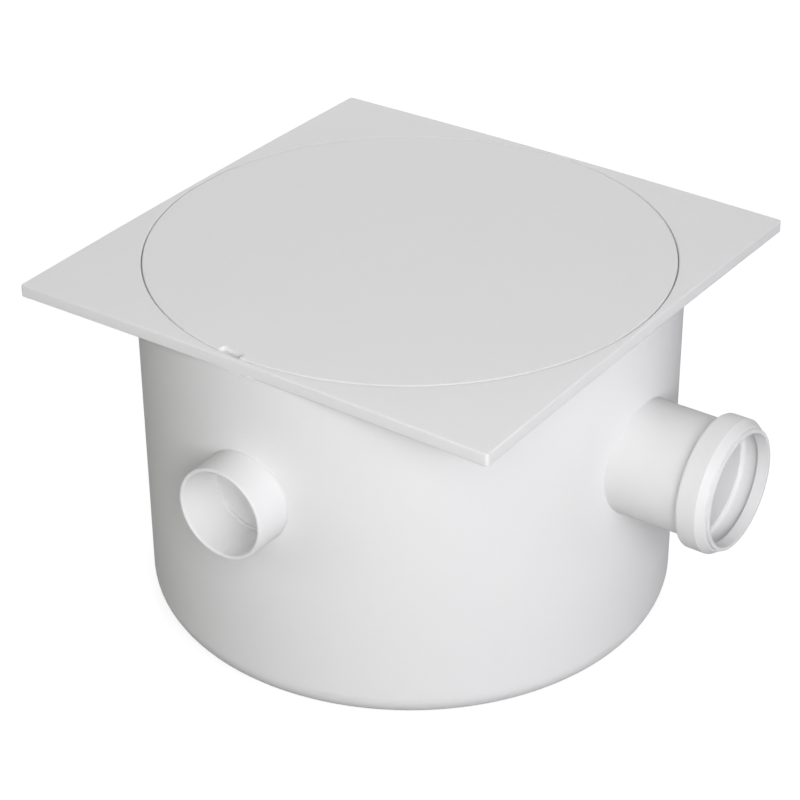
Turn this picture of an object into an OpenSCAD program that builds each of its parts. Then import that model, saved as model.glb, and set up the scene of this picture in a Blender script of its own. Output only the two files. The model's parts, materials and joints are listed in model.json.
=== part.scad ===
// Floor gully trap: a round pot with side sockets, a square cover frame with a
// lift-out blind lid, and a removable siphon that holds the water seal.
// The origin is on the pot's axis at its underside. +Z is up, the outlet points to +X.

/* [Body] */
// Height over everything, from the underside to the top of the lid
overall_h = 172; // [160:1:260]
// Outer diameter of the pot
body_d = 250; // [230:1:320]
// Thickness of the pot's side wall
body_wall = 3; // [2:0.1:4]
// Thickness of the pot's floor
floor_t = 3.2; // [2:0.1:6]
// Outer radius of the edge between side wall and floor
foot_r = 12; // [6:0.5:20]
// Lead-in chamfer inside the pot's rim
rim_lead = 0.8; // [0:0.1:1.5]

/* [Inlets] */
// Depth of the inlets' axis below the top of the lid
inlet_drop = 66.5; // [60:0.5:80]
// Bore of each inlet socket, for a 40 mm pipe
inlet_bore = 40.2; // [38:0.1:46]
// Wall of each inlet socket
inlet_wall = 2; // [1.6:0.1:3]
// How far each inlet stands out of the pot
inlet_reach = 17.5; // [12:0.5:30]
// Depth of each inlet socket, from its mouth to the pipe stop
inlet_depth = 22; // [16:0.5:28]
// Width of the pipe stop
inlet_stop_w = 1.2; // [0.8:0.1:2]
// Depth of the membrane's recess behind the pipe stop
membrane_recess = 1.2; // [0.6:0.1:2]
// Thickness of the membrane that is cut out on site
membrane_t = 1.2; // [0.8:0.1:2]

/* [Outlet] */
// Depth of the outlet's axis below the top of the lid
outlet_drop = 66; // [64:0.5:80]
// Bore of the outlet socket, for a 50 mm pipe
outlet_bore = 50.9; // [50.7:0.1:54]
// Wall of the outlet's neck
outlet_wall = 1.5; // [1.2:0.1:2.5]
// How far the outlet stands out of the pot
outlet_reach = 49; // [42:0.5:70]
// Depth of the seal groove below the bore
groove_depth = 2.55; // [2.2:0.05:3.2]
// Width of the seal groove
groove_w = 8.4; // [6:0.1:9]
// Length of the wall between the seal groove and the mouth
groove_front = 5.2; // [4.5:0.1:6]
// Wall of the ring-seal head over the groove
head_wall = 2.9; // [1.6:0.1:3.5]
// Wall of the head behind the groove
head_back = 1.8; // [1.7:0.1:4]
// Rounding of the head's back edge
head_round = 1.6; // [0.6:0.1:2]
// Length of the head's taper
head_taper = 3.6; // [2.5:0.1:6]
// Length of the lip in front of the taper
lip_len = 1.8; // [1:0.1:3]
// Wall of the lip
lip_wall = 2.4; // [1.5:0.1:3]
// Step between the taper's small end and the lip
lip_step = 0.7; // [0.3:0.1:1]
// Widening of the bore at the mouth
mouth_flare = 0.7; // [0.3:0.1:0.9]
// Thickness of the pipe stop between the outlet socket and the siphon's seat
stop_t = 2; // [1.5:0.1:4]
// Height of that pipe stop above the bore
stop_h = 1.9; // [1:0.1:2.5]

/* [Cover frame] */
// How far the square frame stands out beyond the pot on each side, or in from it below 0
frame_overhang = -0.8; // [-1.5:0.1:15]
// Height of the frame's edge
frame_edge_h = 5.6; // [5:0.1:9]
// Thickness of the frame's plate
frame_plate_t = 2.6; // [2:0.1:3.5]
// Thickness of the frame's downturned edge
frame_rim_t = 2.2; // [1.6:0.1:3]
// Radius of the frame's four corners
corner_r = 1.5; // [0.5:0.1:6]
// Fall of the plate from the pot's edge to the corners, which sheds water
corner_fall = 1.1; // [0:0.1:2]
// Width of the frame's ring between the lid and the pot's edge
ring_w = 3.3; // [2.8:0.1:5]
// Thickness of the ledge that carries the lid
ledge_t = 2.4; // [2:0.1:3]
// Width of the ledge that carries the lid
ledge_w = 7; // [5:0.5:12]
// Clear height between the collar and the siphon's seat below it
collar_gap = 7.85; // [3:0.05:20]
// Thickness of the collar
collar_t = 2.4; // [1.8:0.1:3.5]
// Radial clearance between the collar and the pot
collar_fit = 0.3; // [0.2:0.05:0.8]
// Ribs under each corner of the frame
corner_ribs = 5; // [1:2:7]
// Angle between neighbouring corner ribs
corner_rib_step = 11; // [6:1:13]
// Thickness of the corner ribs
corner_rib_t = 1.8; // [1.2:0.1:2.5]

/* [Lid] */
// Radial gap round the lid
lid_gap = 0.5; // [0.3:0.05:1]
// Height of the lid's outer ring under its plate, which rests on the ledge
lid_foot_h = 0.6; // [0.3:0.1:1.2]
// Radius of the lid's top edge
lid_edge_r = 0.6; // [0.2:0.1:1]
// Height of the ribs under the lid
lid_rib_h = 4; // [2:0.1:8]
// Thickness of the ribs under the lid
lid_rib_t = 1.6; // [1.2:0.1:2.5]
// Number of radial ribs under the lid
lid_spokes = 12; // [6:1:24]
// Number of ring ribs under the lid
lid_rings = 3; // [2:1:5]
// Radius of the lid's centre boss
lid_hub_r = 8; // [5:0.5:14]
// Radial clearance between the lid's outer ring rib and the ledge
lid_fit = 0.3; // [0.2:0.05:0.8]
// Length of the pry notch along the rim
notch_len = 12; // [8:0.5:20]
// Width of the pry notch, measured inwards from the rim
notch_w = 3.8; // [2.5:0.1:5]
// Thickness left under the pry notch
notch_floor = 1; // [0.6:0.1:1.6]
// Direction of the pry notch
notch_angle = -94; // [-180:1:180]

/* [Siphon] */
// How far the siphon's seat stands into the pot
seat_reach = 10; // [6:0.5:16]
// Wall of the siphon's seat
seat_wall = 3.2; // [2:0.1:4]
// Depth of the siphon's seat
seat_depth = 19; // [16:0.5:22]
// Wall of the siphon
siphon_wall = 2; // [1.6:0.1:2.4]
// Extra radius of the dipping leg over the run
leg_step = 2; // [1:0.1:5]
// Clear distance between the leg and the end of the seat
leg_gap = 8.6; // [4:0.1:16]
// Clear height between the leg's mouth and the pot's floor
mouth_gap = 25; // [18:0.5:35]
// Height of the bead round the leg's mouth
mouth_bead_h = 3; // [2:0.1:5]
// Thickness of the bead round the leg's mouth
mouth_bead_t = 1; // [0.5:0.1:2]
// Thickness of the siphon's flange
flange_t = 2.5; // [2:0.1:4]
// Radial clearance of the siphon's spigot in its seat
spigot_fit = 0.15; // [0.1:0.05:0.3]
// Height of the beads on the spigot, which hold its ring seal
spigot_bead_h = 1.9; // [1.5:0.1:2.5]
// Width of each of those beads
spigot_bead_w = 2.2; // [1.5:0.1:3]
// Gap between the spigot's end and the pipe stop
spigot_gap = 0.3; // [0.2:0.1:1]
// Clearance of each ring seal in its groove
seal_fit = 0.05; // [0.05:0.05:0.1]

/* [Cleaning plug] */
// Shoulder at the bottom of the plug's seat
plug_shoulder = 1.2; // [0.8:0.1:2]
// Wall of the plug's seat
plug_seat_wall = 3.6; // [2.5:0.1:5]
// How far the plug's seat stands out beyond the leg
branch_reach = 12.6; // [11.6:0.1:20]
// Depth of the plug's seat
plug_depth = 9; // [8:0.5:10]
// Radial clearance of the plug in its seat
plug_fit = 0.2; // [0.1:0.05:0.3]
// Wall of the plug's cup
plug_wall = 3.5; // [3:0.1:4.5]
// Thickness of the plug's flange
plug_flange_t = 2.5; // [2:0.1:4]
// Depth of the plug's seal groove
plug_groove_d = 1.5; // [1:0.1:1.8]
// Height of the plug's finger grip
grip_h = 9; // [6:0.5:14]
// Thickness of the plug's finger grip
grip_t = 4; // [3:0.1:6]
// Length of the plug's finger grip
grip_len = 34; // [24:0.5:40]

/* [Hidden] */

$fn = 96;
eps = 0.5;                  // overshoot of a cut past the face that it opens
edge = 0.6;                 // rounding of the sockets' moulded edges
pvc = [0.93, 0.93, 0.92];
pvc_inner = [0.86, 0.87, 0.88];
rubber = [0.1, 0.1, 0.1];

// Pot
body_r = body_d / 2;
inner_r = body_r - body_wall;
body_h = overall_h - frame_edge_h;

// Inlets: three sides have one, the fourth has the outlet
inlet_angles = [-90, 90, 180];
inlet_z = overall_h - inlet_drop;
inlet_r = inlet_bore / 2;
inlet_mouth = body_r + inlet_reach;
inlet_stop = inlet_mouth - inlet_depth;
membrane_face = inlet_stop - membrane_recess;
inlet_end = membrane_face - membrane_t;

// Outlet: distances run along its axis from the pot's axis
outlet_z = overall_h - outlet_drop;
outlet_r = outlet_bore / 2;
neck_r = outlet_r + outlet_wall;
seat_end = inner_r - seat_reach;
seat_r = outlet_r + seat_wall;
stop_in = seat_end + seat_depth;
stop_out = stop_in + stop_t;
outlet_mouth = body_r + outlet_reach;
groove_end = outlet_mouth - groove_front;
groove_start = groove_end - groove_w;
groove_r = outlet_r + groove_depth;
groove_round = 1.4;         // rounding at the bottom of the seal groove
head_start = groove_start - head_back;
head_r = groove_r + head_wall;
lip_start = outlet_mouth - lip_len;
lip_r = outlet_r + lip_wall;
taper_start = lip_start - head_taper;
taper_r = lip_r + lip_step;

// Cover frame
frame_half = body_r + frame_overhang;
corner_reach = frame_half * sqrt(2);
recess_r = body_r - ring_w;
lid_r = recess_r - lid_gap;
ledge_z = body_h + ledge_t;
ledge_r = recess_r - ledge_w;
collar_r = inner_r - collar_fit;
collar_low = outlet_z + seat_r + collar_gap;
collar_lead = 1;            // lead-in chamfer at the collar's lower end

// Lid
skirt_r = ledge_r - lid_fit;
lid_under = ledge_z + lid_foot_h;
ring_step = (skirt_r - lid_hub_r) / lid_rings;

// Siphon: its run lies on the outlet's axis
bead_r = outlet_r - spigot_fit;
run_r = bead_r - spigot_bead_h;
run_bore_r = run_r - siphon_wall;
leg_r = run_r + leg_step;
leg_x = seat_end - leg_gap - leg_r;
leg_mouth_z = floor_t + mouth_gap;
spigot_end = stop_in - spigot_gap;
seal_section = (outlet_r - run_r) / 2 - seal_fit;
seal_x = spigot_end - spigot_bead_w - seal_section - seal_fit;

// Cleaning plug
plug_bore_r = run_bore_r + plug_shoulder;
plug_seat_r = plug_bore_r + plug_seat_wall;
plug_face = leg_x - leg_r - branch_reach;
plug_r = plug_bore_r - plug_fit;
plug_floor_r = plug_r - plug_groove_d;
plug_seal_section = (plug_bore_r - plug_floor_r) / 2 - seal_fit;
plug_seal_x = plug_face + plug_depth / 2;

// Turns the children so that their Z runs outwards, at an angle and a height
module outwards(angle, z) {
    rotate([0, 0, angle]) translate([0, 0, z]) rotate([0, 90, 0]) children();
}

// Half section of a pot with one rounded lower corner
module pot_section(radius, height, corner) {
    translate([0, corner]) square([radius, height - corner]);
    square([radius - corner, 2 * corner]);
    translate([radius - corner, corner]) circle(r = corner);
}

// Half section of a solid plug from start to end, its far corner rounded
module stub_section(radius, start, end, corner) {
    translate([0, start]) square([radius, end - start - corner]);
    translate([0, start]) square([radius - corner, end - start]);
    translate([radius - corner, end - corner]) circle(r = corner);
}

// A revolved ring with a square section
module band(inner, outer, start, end) {
    rotate_extrude() translate([inner, start]) square([outer - inner, end - start]);
}

// Prism with the plan of the frame, drawn in by a margin
module frame_prism(margin, low, high) {
    side = 2 * (frame_half - margin);
    translate([0, 0, low]) linear_extrude(high - low) {
        square([side, side - 2 * corner_r], center = true);
        square([side - 2 * corner_r, side], center = true);
        for (x = [-1, 1], y = [-1, 1]) {
            translate([x * (side / 2 - corner_r), y * (side / 2 - corner_r)]) circle(r = corner_r);
        }
    }
}

// Layer between two depths below the frame's top, which falls towards the corners
module frame_layer(upper, lower) {
    far = corner_reach + eps;
    fall = corner_fall * (far - body_r) / (corner_reach - body_r);
    rotate_extrude() polygon([
        [0, overall_h - upper],
        [body_r, overall_h - upper],
        [far, overall_h - upper - fall],
        [far, overall_h - lower - fall],
        [body_r, overall_h - lower],
        [0, overall_h - lower]
    ]);
}

// Side wall and floor of the pot, open at the top
module pot() {
    difference() {
        rotate_extrude() pot_section(body_r, body_h, foot_r);
        translate([0, 0, floor_t]) {
            rotate_extrude() pot_section(inner_r, body_h, foot_r - body_wall);
        }
        translate([0, 0, body_h - rim_lead]) {
            cylinder(h = rim_lead, r1 = inner_r, r2 = inner_r + rim_lead);
        }
    }
}

// Outside of one inlet socket
module inlet_blank(angle) {
    outwards(angle, inlet_z) rotate_extrude() {
        stub_section(inlet_r + inlet_wall, inlet_end, inlet_mouth, edge);
    }
}

// Bore of one inlet socket, down to the pipe stop and the membrane behind it
module inlet_cut(angle) {
    outwards(angle, inlet_z) {
        translate([0, 0, inlet_stop]) cylinder(h = inlet_depth + eps, r = inlet_r);
        translate([0, 0, membrane_face]) {
            cylinder(h = membrane_recess + eps, r = inlet_r - inlet_stop_w);
        }
        translate([0, 0, inlet_mouth - edge]) {
            cylinder(h = edge + eps, r1 = inlet_r, r2 = inlet_r + edge + eps);
        }
    }
}

// Outside of the outlet: neck, round band, taper and lip, and the siphon's seat inside
module outlet_blank() {
    head_band = taper_start - head_start;
    outwards(0, outlet_z) rotate_extrude() {
        translate([0, inner_r - body_wall]) square([neck_r, head_start - inner_r + 2 * body_wall]);
        translate([0, head_start]) square([head_r - head_round, head_band]);
        translate([0, head_start + head_round]) square([head_r, head_band - head_round]);
        translate([head_r - head_round, head_start + head_round]) circle(r = head_round);
        polygon([
            [0, taper_start], [head_r, taper_start], [taper_r, lip_start], [0, lip_start]
        ]);
        stub_section(lip_r, taper_start, outlet_mouth, edge / 2);
    }
    intersection() {
        cylinder(h = body_h, r = body_r - body_wall / 2);
        outwards(0, outlet_z) translate([0, 0, seat_end]) {
            cylinder(h = seat_reach + body_wall, r = seat_r);
        }
    }
}

// Bores of the outlet: the siphon's seat, the stop's hole, the socket, the seal groove, the flare
module outlet_cut() {
    outwards(0, outlet_z) {
        translate([0, 0, seat_end - eps]) cylinder(h = seat_depth + eps, r = outlet_r);
        translate([0, 0, stop_in - eps]) cylinder(h = stop_t + 2 * eps, r = outlet_r - stop_h);
        translate([0, 0, stop_out]) cylinder(h = outlet_mouth - stop_out + eps, r = outlet_r);
        translate([0, 0, groove_end]) {
            cylinder(h = groove_front, r1 = outlet_r, r2 = outlet_r + mouth_flare);
        }
        rotate_extrude() {
            translate([0, groove_start]) square([groove_r - groove_round, groove_w]);
            translate([0, groove_start + groove_round]) {
                square([groove_r, groove_w - 2 * groove_round]);
            }
            for (z = [groove_start + groove_round, groove_end - groove_round]) {
                translate([groove_r - groove_round, z]) circle(r = groove_round);
            }
        }
    }
}

module body() {
    color(pvc) difference() {
        union() {
            pot();
            for (angle = inlet_angles) inlet_blank(angle);
            outlet_blank();
        }
        for (angle = inlet_angles) inlet_cut(angle);
        outlet_cut();
    }
}

// Radial ribs that stiffen the frame between the ring and one corner
module corner_rib_fan() {
    for (i = [0 : corner_ribs - 1]) {
        rotate([0, 0, 45 + corner_rib_step * (i - (corner_ribs - 1) / 2)]) {
            translate([0, -corner_rib_t / 2, 0]) cube([corner_reach, corner_rib_t, overall_h]);
        }
    }
}

// Hollow under the frame's plate, outside the ring that stands on the pot
module frame_hollow() {
    difference() {
        intersection() {
            frame_prism(frame_rim_t, 0, overall_h);
            frame_layer(frame_plate_t, 2 * frame_edge_h);
        }
        cylinder(h = overall_h, r = body_r);
        for (quarter = [0 : 90 : 270]) rotate([0, 0, quarter]) corner_rib_fan();
    }
}

// Collar below the frame, which centres it in the pot's mouth
module collar() {
    rotate_extrude() polygon([
        [collar_r - collar_t, body_h + ledge_t / 2],
        [collar_r, body_h + ledge_t / 2],
        [collar_r, collar_low + collar_lead],
        [collar_r - collar_lead, collar_low],
        [collar_r - collar_t, collar_low]
    ]);
}

module cover_frame() {
    color(pvc) union() {
        difference() {
            intersection() {
                frame_prism(0, 0, overall_h);
                frame_layer(0, frame_edge_h);
            }
            frame_hollow();
            translate([0, 0, ledge_z]) cylinder(h = overall_h, r = recess_r);
            cylinder(h = overall_h, r = ledge_r);
        }
        collar();
    }
}

// Ring ribs and spokes under the lid
module lid_ribs() {
    low = lid_under - lid_rib_h;
    high = (lid_under + overall_h) / 2;
    for (i = [1 : lid_rings]) {
        outer = lid_hub_r + i * ring_step;
        band(outer - lid_rib_t, outer, low, high);
    }
    translate([0, 0, low]) cylinder(h = high - low, r = lid_hub_r);
    for (i = [0 : lid_spokes - 1]) {
        rotate([0, 0, (i + 0.5) * 360 / lid_spokes]) {
            translate([0, -lid_rib_t / 2, low]) {
                cube([skirt_r - lid_rib_t / 2, lid_rib_t, high - low]);
            }
        }
    }
}

module lid() {
    color(pvc) difference() {
        union() {
            rotate_extrude() stub_section(lid_r, lid_under, overall_h, lid_edge_r);
            band(skirt_r - lid_rib_t, lid_r, ledge_z, overall_h - lid_edge_r);
            lid_ribs();
        }
        rotate([0, 0, notch_angle]) {
            translate([lid_r - notch_w, -notch_len / 2, ledge_z + notch_floor]) {
                cube([notch_w + eps, notch_len, frame_edge_h]);
            }
        }
    }
}

// Leg with a domed top, drawn in by a margin
module leg_shape(margin, low) {
    translate([leg_x, 0, 0]) {
        translate([0, 0, low]) cylinder(h = outlet_z - low, r = leg_r - margin);
        translate([0, 0, outlet_z]) sphere(r = leg_r - margin);
    }
}

// Outside of the siphon's run: the spigot with its two beads, the flange and the plug's seat
module run_blank() {
    outwards(0, outlet_z) {
        translate([0, 0, plug_face]) cylinder(h = spigot_end - plug_face, r = run_r);
        translate([0, 0, plug_face]) cylinder(h = plug_depth + siphon_wall, r = plug_seat_r);
        translate([0, 0, seat_end - flange_t]) cylinder(h = flange_t, r = seat_r);
        for (side = [-1, 1]) {
            middle = seal_x + side * (seal_section + seal_fit + spigot_bead_w / 2);
            translate([0, 0, middle - spigot_bead_w / 2]) cylinder(h = spigot_bead_w, r = bead_r);
        }
    }
}

// Bores of the siphon's run and of the plug's seat
module run_cut() {
    outwards(0, outlet_z) translate([0, 0, plug_face - eps]) {
        cylinder(h = spigot_end - plug_face + 2 * eps, r = run_bore_r);
        cylinder(h = plug_depth + eps, r = plug_bore_r);
    }
}

module siphon() {
    color(pvc_inner) difference() {
        union() {
            leg_shape(0, leg_mouth_z);
            translate([leg_x, 0, leg_mouth_z]) cylinder(h = mouth_bead_h, r = leg_r + mouth_bead_t);
            run_blank();
        }
        leg_shape(siphon_wall, leg_mouth_z - eps);
        run_cut();
    }
}

// Ring seal of round section round the outlet's axis
module ring_seal(x, radius, section) {
    color(rubber) outwards(0, outlet_z) translate([0, 0, x]) {
        rotate_extrude() translate([radius, 0]) circle(r = section);
    }
}

module siphon_ring() {
    ring_seal(seal_x, run_r + seal_fit + seal_section, seal_section);
}

module cleaning_plug() {
    color(pvc_inner) outwards(0, outlet_z) difference() {
        union() {
            translate([0, 0, plug_face]) cylinder(h = plug_depth - plug_fit, r = plug_r);
            translate([0, 0, plug_face - plug_flange_t]) cylinder(h = plug_flange_t, r = plug_seat_r);
            translate([0, 0, plug_face - plug_flange_t]) intersection() {
                translate([-grip_t / 2, -grip_len / 2, -grip_h]) cube([grip_t, grip_len, grip_h + eps]);
                rotate([0, 90, 0]) cylinder(h = grip_len, r = grip_len / 2, center = true);
            }
        }
        translate([0, 0, plug_face]) cylinder(h = plug_depth + eps, r = plug_r - plug_wall);
        translate([0, 0, plug_seal_x]) {
            band(plug_floor_r, plug_r + eps, -plug_seal_section - seal_fit, plug_seal_section + seal_fit);
        }
    }
}

module plug_ring() {
    ring_seal(plug_seal_x, plug_floor_r + seal_fit + plug_seal_section, plug_seal_section);
}

body();
cover_frame();
lid();
siphon();
siphon_ring();
cleaning_plug();
plug_ring();
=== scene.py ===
"""Looks of the floor gully trap: its plastics, its softened moulded edges, and a plain studio."""

import json
import logging
import math
from dataclasses import dataclass, field
from enum import Enum
from typing import Any

import bmesh
import bpy
from mathutils import Matrix, Vector


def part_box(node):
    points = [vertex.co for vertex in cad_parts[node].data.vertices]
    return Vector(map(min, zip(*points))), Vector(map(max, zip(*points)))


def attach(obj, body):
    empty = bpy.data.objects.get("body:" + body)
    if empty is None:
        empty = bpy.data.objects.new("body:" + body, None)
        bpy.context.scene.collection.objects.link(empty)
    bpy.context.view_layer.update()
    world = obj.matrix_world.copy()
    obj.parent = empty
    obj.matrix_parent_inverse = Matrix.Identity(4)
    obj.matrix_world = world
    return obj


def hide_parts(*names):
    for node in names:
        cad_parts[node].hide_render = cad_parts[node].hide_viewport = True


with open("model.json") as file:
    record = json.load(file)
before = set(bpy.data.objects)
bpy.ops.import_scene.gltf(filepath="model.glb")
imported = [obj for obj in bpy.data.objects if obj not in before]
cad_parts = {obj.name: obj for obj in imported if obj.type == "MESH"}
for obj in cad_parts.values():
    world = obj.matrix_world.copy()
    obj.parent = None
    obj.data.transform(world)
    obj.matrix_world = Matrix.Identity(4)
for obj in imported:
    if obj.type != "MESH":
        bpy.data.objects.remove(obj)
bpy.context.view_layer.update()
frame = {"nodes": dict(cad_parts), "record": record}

LOG = logging.getLogger("gully_trap")
BODY = "root"
MM = 0.001
WHITE = (1, 1, 1, 1)
SHARP_TURN = math.radians(40)


class Slot(Enum):
    """Material slots of the record; nothing in this script uses them."""

    POT = "pot_plastic"
    COVER = "cover_plastic"


# ---------------------------------------------------------------- shader maths


class Signal:
    """A shader socket that takes part in Python expressions."""

    def __init__(self, tree: bpy.types.NodeTree, socket: bpy.types.NodeSocket) -> None:
        """Wraps an output socket of a node in a tree."""
        self.tree = tree
        self.socket = socket

    def math(
        self, operation: str, other: "Signal | float", swap: bool = False
    ) -> "Signal":
        """Adds one Math node of two operands.

        Args:
            operation: The Math node's operation, such as MULTIPLY.
            other: The second operand.
            swap: Puts the other operand first.

        Returns:
            The node's result.
        """
        node = self.tree.nodes.new("ShaderNodeMath")
        node.operation = operation
        operands = (other, self) if swap else (self, other)
        for slot, operand in enumerate(operands):
            if isinstance(operand, Signal):
                self.tree.links.new(operand.socket, node.inputs[slot])
            else:
                node.inputs[slot].default_value = operand
        return Signal(self.tree, node.outputs[0])

    def __add__(self, other: "Signal | float") -> "Signal":
        """Sum."""
        return self.math("ADD", other)

    def __radd__(self, other: float) -> "Signal":
        """Sum with the number first."""
        return self.math("ADD", other, swap=True)

    def __sub__(self, other: "Signal | float") -> "Signal":
        """Difference."""
        return self.math("SUBTRACT", other)

    def __rsub__(self, other: float) -> "Signal":
        """Difference with the number first."""
        return self.math("SUBTRACT", other, swap=True)

    def __mul__(self, other: "Signal | float") -> "Signal":
        """Product."""
        return self.math("MULTIPLY", other)

    def __rmul__(self, other: float) -> "Signal":
        """Product with the number first."""
        return self.math("MULTIPLY", other, swap=True)


class ShaderBook:
    """Writes one node tree, node by node."""

    def __init__(self, owner: bpy.types.Material | bpy.types.World) -> None:
        """Starts from an empty tree of a material or a world."""
        owner.use_nodes = True
        self.tree = owner.node_tree
        self.tree.nodes.clear()

    def node(
        self,
        kind: str,
        settings: dict[str, Any] | None = None,
        values: dict[str | int, Any] | None = None,
    ) -> bpy.types.Node:
        """Adds a node of any type.

        Args:
            kind: The node's type name in Blender.
            settings: Its properties.
            values: Numbers, colours or signals for its input sockets, by name or place.

        Returns:
            The node.
        """
        made = self.tree.nodes.new(kind)
        for name, value in (settings or {}).items():
            setattr(made, name, value)
        for name, value in (values or {}).items():
            socket = made.inputs[name]
            if isinstance(value, Signal):
                self.tree.links.new(value.socket, socket)
            else:
                socket.default_value = value
        return made

    def signal(
        self,
        kind: str,
        settings: dict[str, Any] | None = None,
        values: dict[str | int, Any] | None = None,
        output: str | int = 0,
    ) -> Signal:
        """Adds a node, as node() does, and returns one of its outputs."""
        return Signal(self.tree, self.node(kind, settings, values).outputs[output])

    def scaled_colour(self, colour: tuple[float, float, float], factor: Signal) -> Signal:
        """A colour times a factor that varies over the surface."""
        return self.signal(
            "ShaderNodeVectorMath", {"operation": "SCALE"}, {0: colour, "Scale": factor}
        )

    def bump(self, height: Signal, **values: Any) -> Signal:
        """A normal that follows a height in metres; more of the node's inputs go by name."""
        return self.signal(
            "ShaderNodeBump",
            values={"Height": height, "Distance": 1.0, "Strength": 1.0} | values,
        )


def linear(level: float) -> float:
    """The linear value of a display level from 0 to 255, by the sRGB curve."""
    share = level / 255
    return share / 12.92 if share <= 0.04045 else ((share + 0.055) / 1.055) ** 2.4


def display_colour(levels: tuple[float, float, float]) -> tuple[float, float, float]:
    """A linear colour from three display levels."""
    red, green, blue = levels
    return linear(red), linear(green), linear(blue)


# -------------------------------------------------------------------- finishes


@dataclass(frozen=True)
class MouldedPlastic:
    """White injection-moulded PVC, with the skin that its mould leaves."""

    name: str
    level: tuple[float, float, float]
    roughness: float
    gloss: float = 0.35
    refraction: float = 1.53
    scatter: float = 0.2
    scatter_depth: float = 4 * MM
    scatter_reach: tuple[float, float, float] = (1.0, 1.0, 1.0)
    roughness_spread: float = 0.06
    tone_spread: float = 0.012
    grain_size: float = 0.4 * MM
    grain_depth: float = 0.01 * MM
    grain_detail: float = 2
    wave_size: float = 28 * MM
    wave_depth: float = 0.05 * MM
    wave_detail: float = 3
    specks_a_wave: float = 9
    speck_detail: float = 4
    noise_falloff: float = 0.55
    draw_lines: float = 0.0
    draw_line_width: float = 1.4 * MM
    draw_line_stretch: tuple[float, float, float] = (1, 1, 0.02)
    draw_line_detail: float = 1
    edge: float = 0.4 * MM
    edge_samples: int = 6

    def build(self) -> bpy.types.Material:
        """Builds the material.

        Returns:
            A material whose colour, roughness and skin read Object coordinates.
        """
        material = bpy.data.materials.new(self.name)
        book = ShaderBook(material)
        place = book.signal("ShaderNodeTexCoord", output="Object")

        def noise(
            size: float, detail: float, stretch: tuple[float, float, float] = (1, 1, 1)
        ) -> Signal:
            """Noise from 0 to 1 with features of one size, stretched along the axes."""
            placed = book.signal("ShaderNodeMapping", values={"Vector": place, "Scale": stretch})
            return book.signal(
                "ShaderNodeTexNoise",
                {"noise_dimensions": "3D"},
                {
                    "Vector": placed,
                    "Scale": 1 / size,
                    "Detail": detail,
                    "Roughness": self.noise_falloff,
                },
            )

        cloud = noise(self.wave_size, self.wave_detail)
        speck = noise(self.wave_size / self.specks_a_wave, self.speck_detail)
        tone = 1 + (cloud - 0.5) * self.tone_spread + (speck - 0.5) * self.tone_spread
        grain = noise(self.grain_size, self.grain_detail)
        skin = grain * self.grain_depth + cloud * self.wave_depth
        if self.draw_lines:
            lines = noise(self.draw_line_width, self.draw_line_detail, self.draw_line_stretch)
            skin = skin + lines * self.draw_lines
        rounded = book.signal(
            "ShaderNodeBevel", {"samples": self.edge_samples}, {"Radius": self.edge}
        )
        shader = book.signal(
            "ShaderNodeBsdfPrincipled",
            values={
                "Base Color": book.scaled_colour(display_colour(self.level), tone),
                "Roughness": self.roughness + (speck - 0.5) * self.roughness_spread,
                "IOR": self.refraction,
                "Specular IOR Level": self.gloss,
                "Subsurface Weight": self.scatter,
                "Subsurface Radius": self.scatter_reach,
                "Subsurface Scale": self.scatter_depth,
                "Normal": book.bump(skin, Normal=rounded),
            },
        )
        book.node("ShaderNodeOutputMaterial", values={"Surface": shader})
        return material


@dataclass(frozen=True)
class SealRubber:
    """Black ring-seal rubber with a faint bloom."""

    name: str
    level: tuple[float, float, float] = (34, 34, 35)
    roughness: float = 0.62
    roughness_spread: float = 0.1
    refraction: float = 1.5
    bloom: float = 0.25
    bloom_size: float = 3 * MM
    bloom_depth: float = 0.02 * MM
    bloom_detail: float = 4

    def build(self) -> bpy.types.Material:
        """Builds the material.

        Returns:
            A dark matte material with a paler bloom in patches.
        """
        material = bpy.data.materials.new(self.name)
        book = ShaderBook(material)
        place = book.signal("ShaderNodeTexCoord", output="Object")
        patch = book.signal(
            "ShaderNodeTexNoise",
            values={"Vector": place, "Scale": 1 / self.bloom_size, "Detail": self.bloom_detail},
        )
        tone = 1 + patch * self.bloom
        shader = book.signal(
            "ShaderNodeBsdfPrincipled",
            values={
                "Base Color": book.scaled_colour(display_colour(self.level), tone),
                "Roughness": self.roughness + patch * self.roughness_spread,
                "IOR": self.refraction,
                "Normal": book.bump(patch * self.bloom_depth),
            },
        )
        book.node("ShaderNodeOutputMaterial", values={"Surface": shader})
        return material


# -------------------------------------------------------------- sub-assemblies


def dress(node: str, material: bpy.types.Material) -> None:
    """Gives a CAD node its finish, and leaves its mesh as it is."""
    mesh = frame["nodes"][node].data
    mesh.materials.clear()
    mesh.materials.append(material)


def finish_piece(
    name: str, shape: bmesh.types.BMesh, material: bpy.types.Material
) -> bpy.types.Object:
    """Turns a shape into a piece of the part that rides on the body.

    Args:
        name: The piece's name.
        shape: Its shape at the place where it belongs, which is freed.
        material: Its material.

    Returns:
        The piece.
    """
    for face in shape.faces:
        face.smooth = True
    for edge in shape.edges:
        edge.smooth = edge.calc_face_angle(math.pi) < SHARP_TURN
    mesh = bpy.data.meshes.new(name)
    shape.to_mesh(mesh)
    shape.free()
    mesh.materials.append(material)
    piece = bpy.data.objects.new(name, mesh)
    bpy.context.scene.collection.objects.link(piece)
    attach(piece, BODY)
    return piece


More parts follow.
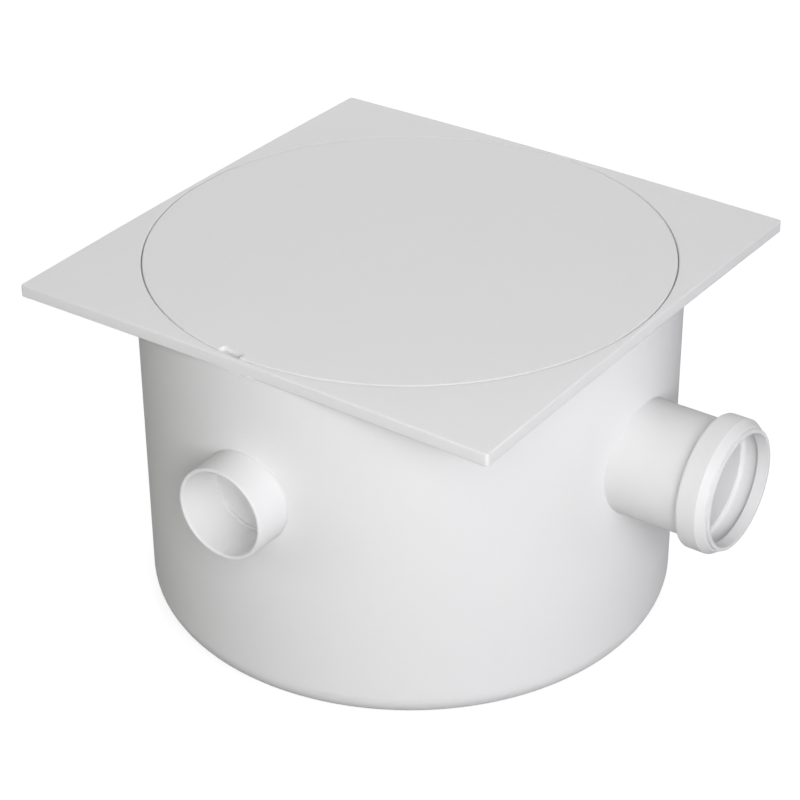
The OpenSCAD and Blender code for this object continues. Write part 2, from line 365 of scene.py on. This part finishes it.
@dataclass(frozen=True)
class RootFillet:
    """The small moulded radius where a round socket stands out of the pot's wall."""

    name: str
    mount: str
    socket: float
    wall: float = 125 * MM
    radius: float = 0.5 * MM
    depth: float = 0.6 * MM
    arc_steps: int = 6
    turn_steps: int = 96
    merge: float = 0.01 * MM

    def build(self, material: bpy.types.Material) -> str:
        """Makes the fillet: its section spun round the socket's axis, then laid on the wall.

        Args:
            material: The pot's material.

        Returns:
            The piece's name.
        """
        shape = bmesh.new()
        self._draw_section(shape)
        bmesh.ops.spin(
            shape,
            geom=shape.verts[:] + shape.edges[:],
            axis=(1, 0, 0),
            cent=(0, 0, 0),
            angle=math.tau,
            steps=self.turn_steps,
            use_merge=True,
        )
        bmesh.ops.remove_doubles(shape, verts=shape.verts[:], dist=self.merge)
        for vertex in shape.verts:
            vertex.co.x += math.sqrt(self.wall**2 - vertex.co.y**2)
        bmesh.ops.recalc_face_normals(shape, faces=shape.faces[:])
        bmesh.ops.transform(shape, matrix=self._find_place(), verts=shape.verts[:])
        return finish_piece(self.name, shape, material).name

    def _find_place(self) -> Matrix:
        """The turn and height that bring a socket along +X to the mount's axis in the record."""
        mount = next(row for row in frame["record"]["mounts"] if row["name"] == self.mount)
        turn = math.atan2(mount["axis"][1], mount["axis"][0])
        return Matrix.Translation((0, 0, mount["pos_m"][2])) @ Matrix.Rotation(turn, 4, "Z")

    def _draw_section(self, shape: bmesh.types.BMesh) -> None:
        """Draws the closed section: the hollow arc, and a heel buried in the pot's plastic."""
        outer = self.socket + self.radius
        outline = []
        for step in range(self.arc_steps + 1):
            angle = math.pi / 2 * step / self.arc_steps
            along = self.radius * (1 - math.cos(angle))
            outline.append((along, 0, outer - self.radius * math.sin(angle)))
        inner = self.socket - self.depth
        outline += [(self.radius, 0, inner), (-self.depth, 0, inner), (-self.depth, 0, outer)]
        corners = [shape.verts.new(point) for point in outline]
        for start, end in zip(corners, corners[1:] + corners[:1]):
            shape.edges.new((start, end))


@dataclass
class Pot:
    """The pot with its three inlets and its outlet, moulded in one piece."""

    outlet_radius: float = 26.95 * MM
    inlet_radius: float = 22.1 * MM
    finish: MouldedPlastic = field(
        default_factory=lambda: MouldedPlastic(
            name="pot_pvc", level=(236, 236, 236), roughness=0.55, draw_lines=0.006 * MM
        )
    )

    def build(self) -> list[str]:
        """Dresses the pot and rounds the roots of its sockets.

        Returns:
            The names of its pieces.
        """
        material = self.finish.build()
        dress("body", material)
        roots = [
            RootFillet("outlet_root", "outlet_socket", self.outlet_radius),
            RootFillet("inlet_root_front", "inlet_front", self.inlet_radius),
            RootFillet("inlet_root_back", "inlet_back", self.inlet_radius),
            RootFillet("inlet_root_left", "inlet_left", self.inlet_radius),
        ]
        return ["body"] + [root.build(material) for root in roots]


@dataclass
class Cover:
    """The square cover frame and the round lid that lies in it."""

    rim_radius: float = 0.9 * MM
    rim_steps: int = 4
    rim_depth: float = 1.5 * MM
    rim_turn: float = 60.0
    flatness: float = 0.1
    merge: float = 0.001 * MM
    finish: MouldedPlastic = field(
        default_factory=lambda: MouldedPlastic(
            name="cover_pvc", level=(236, 236, 236), roughness=0.65
        )
    )

    def build(self) -> list[str]:
        """Dresses the cover and rounds the frame's upper edges.

        Returns:
            The names of its pieces.
        """
        material = self.finish.build()
        dress("cover_frame", material)
        dress("lid", material)
        return [self._soften_frame(material), "lid"]

    def _soften_frame(self, material: bpy.types.Material) -> str:
        """Makes the frame again with its upper edges rounded, as they leave the mould.

        Args:
            material: The cover's material.

        Returns:
            The piece's name.
        """
        shape = bmesh.new()
        shape.from_mesh(frame["nodes"]["cover_frame"].data)
        bmesh.ops.remove_doubles(shape, verts=shape.verts[:], dist=self.merge)
        bmesh.ops.dissolve_limit(
            shape,
            angle_limit=math.radians(self.flatness),
            verts=shape.verts[:],
            edges=shape.edges[:],
        )
        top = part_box("cover_frame")[1][2]
        bmesh.ops.bevel(
            shape,
            geom=self._find_rims(shape, top),
            offset=self.rim_radius,
            offset_type="OFFSET",
            affect="EDGES",
            segments=self.rim_steps,
            profile=0.5,
            material=-1,
            clamp_overlap=True,
        )
        for vertex in shape.verts:
            vertex.co.z = min(vertex.co.z, top)
        piece = finish_piece("softened_cover_frame", shape, material)
        flats = piece.modifiers.new("flat_faces", "WEIGHTED_NORMAL")
        flats.keep_sharp = True
        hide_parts("cover_frame")
        return piece.name

    def _find_rims(self, shape: bmesh.types.BMesh, top: float) -> list[bmesh.types.BMEdge]:
        """The outward edges that turn far enough and lie near the top."""
        return [
            edge
            for edge in shape.edges
            if edge.calc_face_angle_signed(0) > math.radians(self.rim_turn)
            and min(vertex.co.z for vertex in edge.verts) > top - self.rim_depth
        ]


@dataclass
class WaterSeal:
    """The siphon and its cleaning plug inside the pot, with their ring seals."""

    plastic: MouldedPlastic = field(
        default_factory=lambda: MouldedPlastic(
            name="siphon_pvc", level=(216, 218, 220), roughness=0.5
        )
    )
    rubber: SealRubber = field(default_factory=lambda: SealRubber("ring_rubber"))

    def build(self) -> list[str]:
        """Dresses the siphon, the plug and the rings.

        Returns:
            The names of its pieces.
        """
        finishes = {
            "siphon": self.plastic,
            "cleaning_plug": self.plastic,
            "siphon_ring": self.rubber,
            "plug_ring": self.rubber,
        }
        materials = {finish.name: finish.build() for finish in (self.plastic, self.rubber)}
        for node, finish in finishes.items():
            dress(node, materials[finish.name])
        return list(finishes)


# ---------------------------------------------------------------------- studio

COOL = (1.0, 0.99, 1.05)
WARM = (1.0, 0.995, 0.94)


@dataclass(frozen=True)
class Lamp:
    """A square soft box: where it stands as seen from the part, and how strong it is."""

    name: str
    azimuth: float
    elevation: float
    power: float
    distance: float = 1.8
    size: float = 0.7
    colour: tuple[float, float, float] = (1, 1, 1)

    def build(self, aim: Vector) -> str:
        """Makes the lamp.

        Args:
            aim: The point that it faces.

        Returns:
            The lamp's name.
        """
        light = bpy.data.lights.new(self.name, "AREA")
        light.shape = "SQUARE"
        light.size = self.size
        light.energy = self.power
        light.color = self.colour
        lamp = bpy.data.objects.new(self.name, light)
        bpy.context.scene.collection.objects.link(lamp)
        lamp.location = aim + towards(self.azimuth, self.elevation) * self.distance
        lamp.rotation_euler = (lamp.location - aim).to_track_quat("Z", "Y").to_euler()
        return lamp.name


def towards(azimuth: float, elevation: float) -> Vector:
    """The direction from the part to a viewer at these degrees; azimuth 0 looks along +Y."""
    turn, rise = math.radians(azimuth), math.radians(elevation)
    level = math.cos(rise)
    return Vector((math.sin(turn) * level, -math.cos(turn) * level, math.sin(rise)))


@dataclass
class Studio:
    """A pale floor, a white surround, soft lamps and the camera."""

    azimuth: float = 35.158
    elevation: float = 31.144
    roll: float = -0.268
    distance: float = 1.13
    lens: float = 107.82
    aim: Vector = field(default_factory=lambda: Vector((0, 0, 0.09)))
    shift: tuple[float, float] = (-0.01336, 0.0049)
    ambient: float = 0.18
    floor_size: float = 14.0
    floor_drop: float = 0.1 * MM
    floor_paint: tuple[float, float, float, float] = (0.35, 0.35, 0.35, 1)
    floor_glow: float = 0.8
    floor_fade: tuple[float, float] = (0.3, 1.2)
    floor_gloss: float = 0.15
    lamps: tuple[Lamp, ...] = (
        Lamp("key", azimuth=44, elevation=22, power=12.0),
        Lamp("right", azimuth=65, elevation=22, power=7.0, colour=COOL),
        Lamp("low_right", azimuth=115, elevation=4, power=2.2, colour=COOL),
        Lamp("left", azimuth=-40, elevation=22, power=3.5, colour=WARM),
        Lamp("near", azimuth=35, elevation=35, power=1.4, distance=0.9, size=0.4),
        Lamp("back", azimuth=215, elevation=40, power=11.0, size=1.2),
        Lamp("low_back", azimuth=215, elevation=8, power=9.0, size=1.2),
    )

    def build(self) -> list[str]:
        """Makes the floor, the surround, the camera and the lamps.

        Returns:
            The names of the lamps.
        """
        self._make_floor()
        self._make_world()
        self._make_camera()
        bpy.context.scene.view_settings.view_transform = "Standard"
        return [lamp.build(self.aim) for lamp in self.lamps]

    def _make_floor(self) -> None:
        """Makes a floor just under the part, so that the two don't lie in one plane."""
        shape = bmesh.new()
        bmesh.ops.create_grid(
            shape,
            x_segments=1,
            y_segments=1,
            size=self.floor_size / 2,
            matrix=Matrix.Translation((0, 0, -self.floor_drop)),
        )
        mesh = bpy.data.meshes.new("floor")
        shape.to_mesh(mesh)
        shape.free()
        mesh.materials.append(self._paint_floor())
        floor = bpy.data.objects.new("floor", mesh)
        bpy.context.scene.collection.objects.link(floor)

    def _paint_floor(self) -> bpy.types.Material:
        """A paint that is white to the camera, keeps the part's shadow and fades to pure white."""
        material = bpy.data.materials.new("floor_paint")
        book = ShaderBook(material)
        rays = book.node("ShaderNodeLightPath")
        camera, glossy, through = (
            Signal(book.tree, rays.outputs[name])
            for name in ("Is Camera Ray", "Is Glossy Ray", "Is Transmission Ray")
        )
        seen = camera.math("MAXIMUM", through).math("MAXIMUM", glossy * self.floor_gloss)
        place = book.signal("ShaderNodeTexCoord", output="Object")
        away = book.signal("ShaderNodeVectorMath", {"operation": "LENGTH"}, {0: place}, "Value")
        fade_start, fade_end = self.floor_fade
        strength = book.signal(
            "ShaderNodeMapRange",
            {"interpolation_type": "SMOOTHSTEP"},
            {
                "Value": away,
                "From Min": fade_start,
                "From Max": fade_end,
                "To Min": self.floor_glow,
                "To Max": 1.0,
            },
        )
        paint = book.signal("ShaderNodeBsdfDiffuse", values={"Color": self.floor_paint})
        glow = book.signal(
            "ShaderNodeEmission", values={"Color": WHITE, "Strength": seen * strength}
        )
        both = book.signal("ShaderNodeAddShader", values={0: paint, 1: glow})
        book.node("ShaderNodeOutputMaterial", values={"Surface": both})
        return material

    def _make_world(self) -> None:
        """Makes a surround that is white to the camera and lights the part evenly."""
        world = bpy.data.worlds.new("surround")
        bpy.context.scene.world = world
        book = ShaderBook(world)
        rays = book.node("ShaderNodeLightPath")
        camera = Signal(book.tree, rays.outputs["Is Camera Ray"])
        strength = self.ambient + camera * (1 - self.ambient)
        back = book.signal("ShaderNodeBackground", values={"Color": WHITE, "Strength": strength})
        book.node("ShaderNodeOutputWorld", values={"Surface": back})

    def _make_camera(self) -> None:
        """Makes the camera and sets it as the scene's."""
        camera = bpy.data.cameras.new("camera")
        camera.lens = self.lens
        camera.shift_x, camera.shift_y = self.shift
        holder = bpy.data.objects.new("camera", camera)
        bpy.context.scene.collection.objects.link(holder)
        back = towards(self.azimuth, self.elevation)
        holder.location = self.aim + back * self.distance
        facing = (-back).to_track_quat("-Z", "Y").to_matrix()
        tilt = Matrix.Rotation(math.radians(self.roll), 3, "Z")
        holder.rotation_euler = (facing @ tilt).to_euler()
        bpy.context.scene.camera = holder


def main() -> None:
    """Builds the part's looks and the studio, and reports each piece."""
    logging.basicConfig(level=logging.INFO, format="%(name)s: %(message)s")
    for assembly in (Pot(), Cover(), WaterSeal(), Studio()):
        names = assembly.build()
        LOG.info("%s: %s", type(assembly).__name__, ", ".join(names))


if __name__ == "__main__":
    main()
